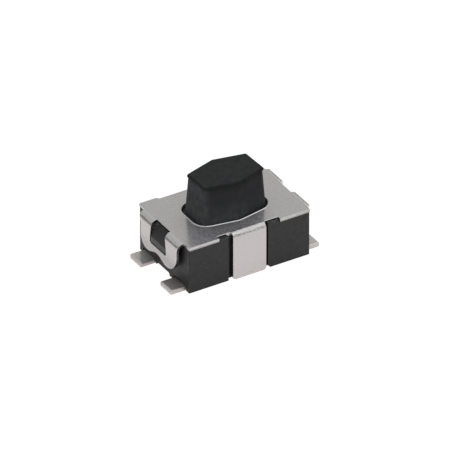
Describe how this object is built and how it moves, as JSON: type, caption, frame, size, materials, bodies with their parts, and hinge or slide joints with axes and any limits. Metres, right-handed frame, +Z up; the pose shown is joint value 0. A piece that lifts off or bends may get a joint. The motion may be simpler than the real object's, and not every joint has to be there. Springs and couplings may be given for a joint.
{
  "type": "tactile push button switch",
  "caption": "Surface-mount tactile switch: metal cover latched over a moulded base, ground tab, solder terminals and a hexagonal button on a snap dome.",
  "frame": {"origin": "centre of the switch on the board, level with the solder faces of its terminals", "axes": "+X along the long side, +Y away from the face with the ground tab, +Z up through the button"},
  "size_m": [0.0046, 0.0026, 0.0026],
  "materials": {
    "base_plastic": "matte black moulded thermoplastic",
    "contact_plating": "silver-plated copper alloy, satin",
    "dome_steel": "bright spring steel",
    "button_rubber": "matte black moulded elastomer",
    "cover_steel": "stamped stainless sheet, satin"
  },
  "bodies": {
    "housing": {"base_housing": "base_plastic", "front_contact": "contact_plating", "back_contact": "contact_plating", "snap_dome": "dome_steel", "cover": "cover_steel"},
    "button": {"button": "button_rubber"}
  },
  "joints": [
    {"name": "button_press", "type": "slide", "parent": "housing", "child": "button", "axis": [0, 0, -1], "range_m": [0, 0.0002], "stiffness_N_per_m": 10000, "deforming": ["snap_dome"]}
  ]
}
